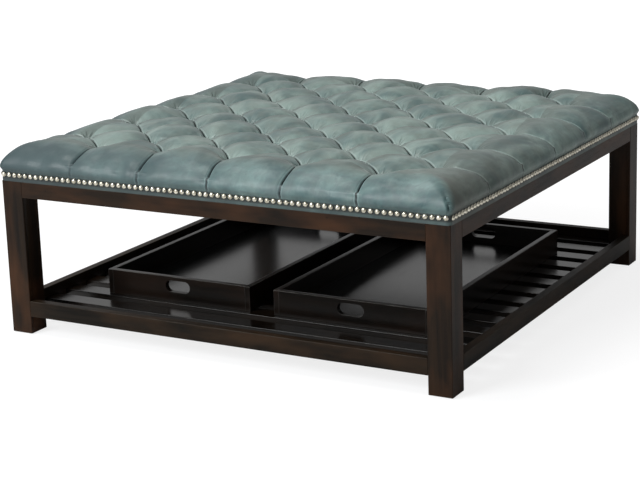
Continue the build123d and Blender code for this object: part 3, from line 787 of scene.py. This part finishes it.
def tuft_rays():
    """The small wrinkles that run out from each tuft, where the hide is gathered."""
    group, given, result = group_with(
        "tuft rays", {"Edge": 0.0, "Half Pitch": tuft_pitch / 2 / 1000, "Reach": 0.5}, ["Height"])
    flat = node(group, "ShaderNodeSeparateXYZ", {0: given["Vector"]}).outputs
    x = sums(group, "DIVIDE", flat[0], given["Half Pitch"])
    y = sums(group, "DIVIDE", flat[1], given["Half Pitch"])
    one_way = times(group, plus(group, x, y), 0.5)
    other_way = times(group, sums(group, "SUBTRACT", x, y), 0.5)
    one_cell = sums(group, "FLOOR", one_way)
    other_cell = sums(group, "FLOOR", other_way)
    from_one = sums(group, "SUBTRACT", one_way, plus(group, one_cell, 0.5))
    from_other = sums(group, "SUBTRACT", other_way, plus(group, other_cell, 0.5))
    ray = point(group, plus(group, from_one, from_other), sums(group, "SUBTRACT", from_one, from_other))
    gap = vectors(group, "LENGTH", {0: ray}, "Value")
    spread = vectors(group, "MULTIPLY", {0: vectors(group, "NORMALIZE", {0: ray}), 1: (3.2, 3.2, 3.2)})
    own = plus(group, times(group, one_cell, 3.7), times(group, other_cell, 1.9))
    seated = vectors(group, "ADD", {0: spread, 1: point(group, z=plus(group, own, gap))})
    shape = noise(group, seated, 1.3, 2.0, Roughness=0.5)
    shape = ramp(group, shape, [(0.35, 0.0), (0.50, 0.35), (0.62, 1.0)])
    near = sums(group, "DIVIDE", gap, given["Reach"])
    near = ramp(group, near, [(0.05, 0.2), (0.30, 1.0), (1.0, 0.0)])
    inside = ramp(group, given["Edge"], [(0.20, 1.0), (0.34, 0.0)])
    feed(group, result, {"Height": times(group, shape, times(group, near, inside))})
    return group


def ranged(tree, value, start, end, first, last):
    """Goes from the first value to the last while another goes from start to end."""
    return node(tree, "ShaderNodeMapRange", {
        "Value": value, "From Min": start, "From Max": end, "To Min": first, "To Max": last}).outputs[0]


deep_teal = (0.066, 0.116, 0.114)
pale_teal = (0.202, 0.276, 0.252)
rubbed_grey = (0.150, 0.170, 0.150)
stretch_mark = (0.235, 0.295, 0.272)
painted_ray_highlight = (0.250, 0.320, 0.300)
painted_crest_shade = (0.060, 0.076, 0.066)
painted_lip_highlight = (0.330, 0.400, 0.380)
painted_fold_shade = (0.008, 0.014, 0.014)
side_shade_tint = (0.64, 0.745, 0.79)
side_streak = (0.075, 0.105, 0.112)
left_teal = (0.030, 0.052, 0.057)
right_olive = (0.070, 0.073, 0.060)
painted_nail_shade = (0.011, 0.015, 0.014)


def cover_leather():
    """Semi-gloss pull-up leather in a grey teal, duller down the sides, where painted shade makes it darker
    and bluer.
    """
    material, tree, skin = new_material("teal pull-up leather")
    place = stored(tree, "hide", "Vector")
    edge_way = stored(tree, "edge_way")
    from_p = times(tree, stored(tree, "from_p"), ramp(tree, edge_way, [(0.30, 1.0), (0.50, 0.78)]))
    from_q = stored(tree, "from_q")
    rays = grouped(tree, tuft_rays(), {"Vector": place, "Edge": edge_way})["Height"]
    clouds = grouped(tree, pull_up_clouds(), {"Vector": place})
    grain = grouped(tree, hide_grain(), {"Vector": place})["Height"]
    colour = mixed(tree, clouds["Clouds"], deep_teal, pale_teal)
    colour = mixed(tree, times(tree, clouds["Blotches"], 0.5), colour, rubbed_grey)
    colour = mixed(tree, times(tree, clouds["Marks"], 0.22), colour, stretch_mark)
    # Painted highlights on the small wrinkles round the tufts, which also get a bump.
    colour = mixed(tree, times(tree, rays, 0.45), colour, painted_ray_highlight)

    # Painted shade in a band on each pillow's top, on one side of its q-fold.
    on_top = ramp(tree, edge_way, [(0.12, 1.0), (0.40, 0.0)])
    crest_shade = sums(tree, "DIVIDE", from_q, 10.0)
    crest_shade = ramp(tree, crest_shade, [(0.20, 0.0), (0.34, 0.80), (0.48, 0.60), (0.66, 0.0)])
    colour = mixed(tree, times(tree, crest_shade, on_top), colour, painted_crest_shade)
    above_nails = ramp(tree, edge_way, [(0.84, 1.0), (0.88, 0.0)])
    # Painted highlights on the doubled leather beside each fold, and painted shade down in the folds, above
    # the nails.
    gaps = [sums(tree, "ABSOLUTE", gap) for gap in (from_p, from_q)]
    for tone, stops in (
            (painted_lip_highlight, [(0.24, 0.0), (0.34, 0.55), (0.42, 0.55), (0.56, 0.0)]),
            (painted_fold_shade, [(0.12, 0.95), (0.25, 0.0)])):
        for gap in gaps:
            colour = mixed(tree, times(tree, ramp(tree, gap, stops), above_nails), colour, tone)

    across = node(tree, "ShaderNodeSeparateXYZ", {0: place}).outputs
    on_right = sums(tree, "SUBTRACT", across[0], sums(tree, "ABSOLUTE", across[1]))
    on_right = ramp(tree, on_right, [(0.0, 0.0), (0.03, 1.0)])
    on_right = times(tree, on_right, ramp(tree, across[0], [(0.50, 0.0), (0.58, 1.0)]))
    on_side = ramp(tree, edge_way, [(0.14, 0.0), (0.42, 1.0)])
    # Painted shade: all sides except the right end are multiplied darker and bluer.
    side_shade = times(tree, on_side, sums(tree, "SUBTRACT", 1.0, on_right))
    colour = mixed(tree, side_shade, colour, side_shade_tint, "MULTIPLY")
    streaks = noise(tree, place, 16.0, 6.0, Roughness=0.7, Distortion=1.5)
    streaks = ramp(tree, streaks, [(0.40, 0.45), (0.52, 0.0)])
    colour = mixed(tree, times(tree, streaks, on_side), colour, side_streak)
    left_end = ranged(tree, across[0], -0.62, 0.2, 1.0, 0.0)
    left_end = times(tree, left_end, sums(tree, "MAXIMUM", on_side, 0.22))
    colour = mixed(tree, left_end, colour, left_teal)
    near_end = ranged(tree, across[1], -0.60, 0.0, 0.80, 0.0)
    colour = mixed(tree, times(tree, on_right, near_end), colour, right_olive)
    # Painted shade round the nails and on the strip under them.
    nail_shade_stops = [(0.78, 0.0), (0.855, 0.25), (0.875, 0.95), (0.94, 0.95), (0.955, 0.60)]
    colour = mixed(tree, ramp(tree, edge_way, nail_shade_stops), colour, painted_nail_shade)

    rough = ramp(tree, clouds["Blotches"], [(0.0, 0.44), (1.0, 0.58)])
    puckers = bump(tree, rays, 0.0022, 1.0)
    feed(tree, skin, {
        "Base Color": colour,
        "Roughness": plus(tree, rough, times(tree, on_side, 0.06)),
        "Coat Weight": ramp(tree, edge_way, [(0.34, 0.32), (0.50, 0.16)]),
        "Normal": bump(tree, grain, 0.00035, 0.5, Normal=puckers),
        "Specular IOR Level": 0.34, "Coat Roughness": 0.30,
        "Sheen Weight": 0.35, "Sheen Roughness": 0.12, "Sheen Tint": (0.75, 0.90, 0.86, 1)})
    return material


cover = new_piece("tufted_cover", cover_mesh(cover_leather()), "base", ["leather_cover"])


# Nails: domed brass-plated heads, set almost head to head by hand in one row along each side.
# They stand a little crooked, and the plating is a pale champagne that has dulled in patches.

nail_level = nail_height / 1000
nail_face = 0.6121
nails_a_side = 74
nail_run = 1.2008
nail_radius = 0.0064
nail_dome = 0.0042
nail_stray = (0.0005, 0.0002, 0.0004)
nail_tilt = (0.10, 3.1, 0.10)


def nail_tree(material):
    """A row of domed heads along a side, each a little turned and off the line."""
    tree, size, result = tree_with("nail row", {
        "Count": nails_a_side, "Run": nail_run, "Radius": nail_radius, "Dome": nail_dome,
        "Turn": 0.0, "Seed": 1})
    ball = node(tree, "GeometryNodeMeshUVSphere", {"Segments": 12, "Rings": 8, "Radius": 1.0})
    place = node(tree, "GeometryNodeInputPosition").outputs[0]
    high = node(tree, "ShaderNodeSeparateXYZ", {0: place}).outputs[2]
    below = node(tree, "FunctionNodeCompare", {0: high, 1: -0.01}, data_type="FLOAT", operation="LESS_THAN")
    dome = node(tree, "GeometryNodeDeleteGeometry", {
        "Geometry": ball.outputs[0], "Selection": below.outputs[0]}, domain="POINT")
    head = node(tree, "GeometryNodeTransform", {
        "Geometry": dome.outputs[0], "Rotation": (pi / 2, 0.0, 0.0),
        "Scale": point(tree, size["Radius"], size["Radius"], size["Dome"])})
    smooth = node(tree, "GeometryNodeSetShadeSmooth", {0: head.outputs[0]})
    gap = sums(tree, "DIVIDE", size["Run"], sums(tree, "SUBTRACT", size["Count"], 1.0))
    line = node(tree, "GeometryNodeMeshLine", {
        "Count": size["Count"], "Offset": point(tree, x=gap),
        "Start Location": point(tree, times(tree, size["Run"], -0.5), -nail_face, nail_level)})
    moved = node(tree, "GeometryNodeSetPosition", {
        "Geometry": line.outputs[0], "Offset": random_vector(tree, nail_stray, size["Seed"])})
    laid = node(tree, "GeometryNodeInstanceOnPoints", {
        "Points": moved.outputs[0], "Instance": smooth.outputs[0],
        "Rotation": random_vector(tree, nail_tilt, plus(tree, size["Seed"], 40.0))})
    solid = node(tree, "GeometryNodeRealizeInstances", {"Geometry": laid.outputs[0]})
    turned = node(tree, "GeometryNodeTransform", {
        "Geometry": solid.outputs[0], "Rotation": point(tree, z=size["Turn"])})
    painted(tree, result, turned.outputs[0], material)
    return tree


def nail_brass():
    """Pale brass plating, with a patchy patina."""
    material, tree, skin = new_material("champagne brass")
    patina = noise(tree, object_place(tree), 160.0, 3.0)
    feed(tree, skin, {
        "Base Color": ramp(tree, patina, [(0.35, (0.40, 0.37, 0.29)), (0.65, (0.74, 0.71, 0.61))]),
        "Roughness": ramp(tree, patina, [(0.3, 0.34), (0.7, 0.20)]), "Metallic": 1.0})
    return material


nail_rows = nail_tree(nail_brass())
for index, side in enumerate(["front", "right", "back", "left"]):
    row = grown("nail_row_" + side, nail_rows, {"Turn": index * pi / 2, "Seed": index + 1})
    new_piece("nails_along_" + side, row, "base", ["nails_" + side])


# Trays: two loose boxes of thin boards round a grooved-in bottom, with a hand slot in each end.
# They are painted near black and rubbed to a gloss that is rubbed thin at the rim and the slot edges, whose
# paler colour is also a painted highlight.

slot_reach = 0.045
slot_low = 0.015
slot_high = 0.060

tray_finish = stained_wood(
    "tray lacquer", dark=(0.0022, 0.0015, 0.0010), mid=(0.0048, 0.0030, 0.0019),
    warm=(0.012, 0.006, 0.0035), worn_and_highlit=(0.10, 0.095, 0.088), roughness=0.30, shine=0.20, pore_depth=0.000004)
# The bottoms are coloured lighter and bluer than the sides: a painted cool reflection.
bottom_finish_with_painted_reflection = stained_wood(
    "tray bottom lacquer with painted reflection", dark=(0.0034, 0.0044, 0.0048), mid=(0.0054, 0.0070, 0.0076),
    warm=(0.008, 0.008, 0.007), worn_and_highlit=(0.05, 0.045, 0.04), roughness=0.20, shine=0.42, pore_depth=0.000002)


def slot_edges(form):
    """The edges of the hand slot, on both faces of a tray's end."""
    low, high = box_of(form)
    middle = (low + high) / 2
    found = []
    for edge in form.edges:
        if len(edge.link_faces) != 2 or edge.calc_face_angle(0) < radians(60):
            continue
        ends = [v.co for v in edge.verts]
        on_face = all(min(p[1] - low[1], high[1] - p[1]) < 0.0001 for p in ends)
        across = all(abs(p[0] - middle[0]) < slot_reach for p in ends)
        if on_face and across and all(slot_low < p[2] - low[2] < slot_high for p in ends):
            found.append(edge)
    return found


for index, tray in enumerate(("left_tray", "right_tray")):
    first_seed = 70 + 10 * index
    for number, part in enumerate(("right_side", "left_side")):
        eased_wood(tray + "_" + part, tray, tray_finish, along=1, seed=first_seed + number)
    for number, part in enumerate(("back_end", "front_end")):
        eased_wood(
            tray + "_" + part, tray, tray_finish, along=0, seed=first_seed + 4 + number,
            more_edges=slot_edges)
    eased_wood(tray + "_bottom", tray, bottom_finish_with_painted_reflection, along=1, seed=first_seed + 8)


# Studio: a white sweep of paper under soft lamps, seen from a little above and to the right.
# The air and the paper are white to the camera, and dimmer for the light they give the piece.

def seen_straight(tree, rays):
    """1 where a ray comes from the camera or through glass, so that it meets plain white."""
    return sums(tree, "MAXIMUM", rays["Is Camera Ray"], rays["Is Transmission Ray"])


def paper():
    """White paper that the camera sees as white, with the soft shadow under the frame, partly painted by
    dimming the paper's glow there.
    """
    material, tree, skin = new_material("white paper")
    place = object_place(tree)
    white = ramp(tree, noise(tree, place, 600.0, 2.0), [(0.3, 0.80), (0.7, 0.84)])
    rays = node(tree, "ShaderNodeLightPath").outputs
    away = vectors(tree, "LENGTH", {0: place}, "Value")
    sides = node(tree, "ShaderNodeSeparateXYZ", {0: vectors(tree, "ABSOLUTE", {0: place})}).outputs
    # Painted shadow: the glow the camera sees is dimmed under the frame.
    under = ramp(tree, sums(tree, "MAXIMUM", sides[0], sides[1]), [(0.22, 0.45), (0.42, 1.0)])
    bright = times(tree, ranged(tree, away, 0.9, 3.0, 0.80, 1.0), under)
    feed(tree, skin, {
        "Base Color": mixed(tree, rays["Is Camera Ray"], white, (0.26, 0.26, 0.265)),
        "Emission Color": (1, 1, 1, 1),
        "Emission Strength": times(tree, seen_straight(tree, rays), bright),
        "Roughness": 0.9, "Specular IOR Level": 0.1})
    return material


floor_mesh = bpy.data.meshes.new("paper_sweep")
sheet = bmesh.new()
bmesh.ops.create_grid(sheet, x_segments=4, y_segments=4, size=14.0)
sheet.to_mesh(floor_mesh)
sheet.free()
floor_mesh.materials.append(paper())
floor = bpy.data.objects.new("paper_sweep", floor_mesh)
bpy.context.scene.collection.objects.link(floor)

front_light = (-0.40, -0.62, 0.68)
back_wall = (-0.45, 0.86, 0.20)

world = bpy.data.worlds.new("white studio")
bpy.context.scene.world = world
world.use_nodes = True
air = world.node_tree
rays = node(air, "ShaderNodeLightPath").outputs
heading = node(air, "ShaderNodeTexCoord").outputs["Generated"]
soft = vectors(air, "DOT_PRODUCT", {0: heading, 1: front_light}, "Value")
soft = ranged(air, soft, -0.7, 0.9, 0.09, 0.54)
behind = vectors(air, "DOT_PRODUCT", {0: heading, 1: back_wall}, "Value")
behind = ranged(air, behind, 0.5, 0.95, 0.0, 0.36)
soft = plus(air, soft, times(air, behind, rays["Is Glossy Ray"]))
feed(air, air.nodes["Background"], {
    "Color": (1, 1, 1, 1), "Strength": ranged(air, seen_straight(air, rays), 0.0, 1.0, soft, 1.0)})


def set_up(name, data, place, right, up, back):
    """A lamp or camera at a place, turned by the directions of its own axes."""
    made = bpy.data.objects.new(name, data)
    bpy.context.scene.collection.objects.link(made)
    turn = Matrix(np.array([right, up, back]).T.tolist()).to_4x4()
    made.matrix_world = Matrix.Translation(place) @ turn
    return made


def lamp(name, place, target, size, power, colour):
    """A square soft box that faces a point."""
    data = bpy.data.lights.new(name, "AREA")
    data.size = size
    data.energy = power
    data.color = colour
    away = np.array(place) - np.array(target)
    away = away / np.linalg.norm(away)
    right = np.cross((0, 0, 1), away)
    right = right / np.linalg.norm(right)
    set_up(name, data, place, right, np.cross(away, right), away)


lamp("key_box", (-2.7, -5.6, 3.8), (0, 0, 0.35), size=3.2, power=415, colour=(0.97, 0.99, 1.0))
lamp("top_box", (-1.5, -0.7, 4.9), (0, 0, 0.4), size=1.8, power=88, colour=(1.0, 0.99, 0.96))


# Camera: a long lens, level with a standing person's chest, rolled a little as in the photograph.
# Its place, turn and lens were fitted to the corners of the frame in the photograph.

azimuth = radians(29.43)
elevation = radians(13.50)
roll = radians(-1.88)
camera_place = (2.1212, -3.8519, 1.3161)

ahead = np.array([-sin(azimuth) * cos(elevation), cos(azimuth) * cos(elevation), -sin(elevation)])
level_right = np.cross(ahead, (0, 0, 1))
level_right = level_right / np.linalg.norm(level_right)
level_up = np.cross(level_right, ahead)
camera_right = cos(roll) * level_right + sin(roll) * level_up
camera_up = -sin(roll) * level_right + cos(roll) * level_up
lens = bpy.data.cameras.new("camera")
lens.lens = 96.9
lens.sensor_width = 36
lens.shift_y = -0.0625
lens.clip_end = 100
bpy.context.scene.camera = set_up("camera", lens, camera_place, camera_right, camera_up, -ahead)
bpy.context.scene.view_settings.view_transform = "Standard"
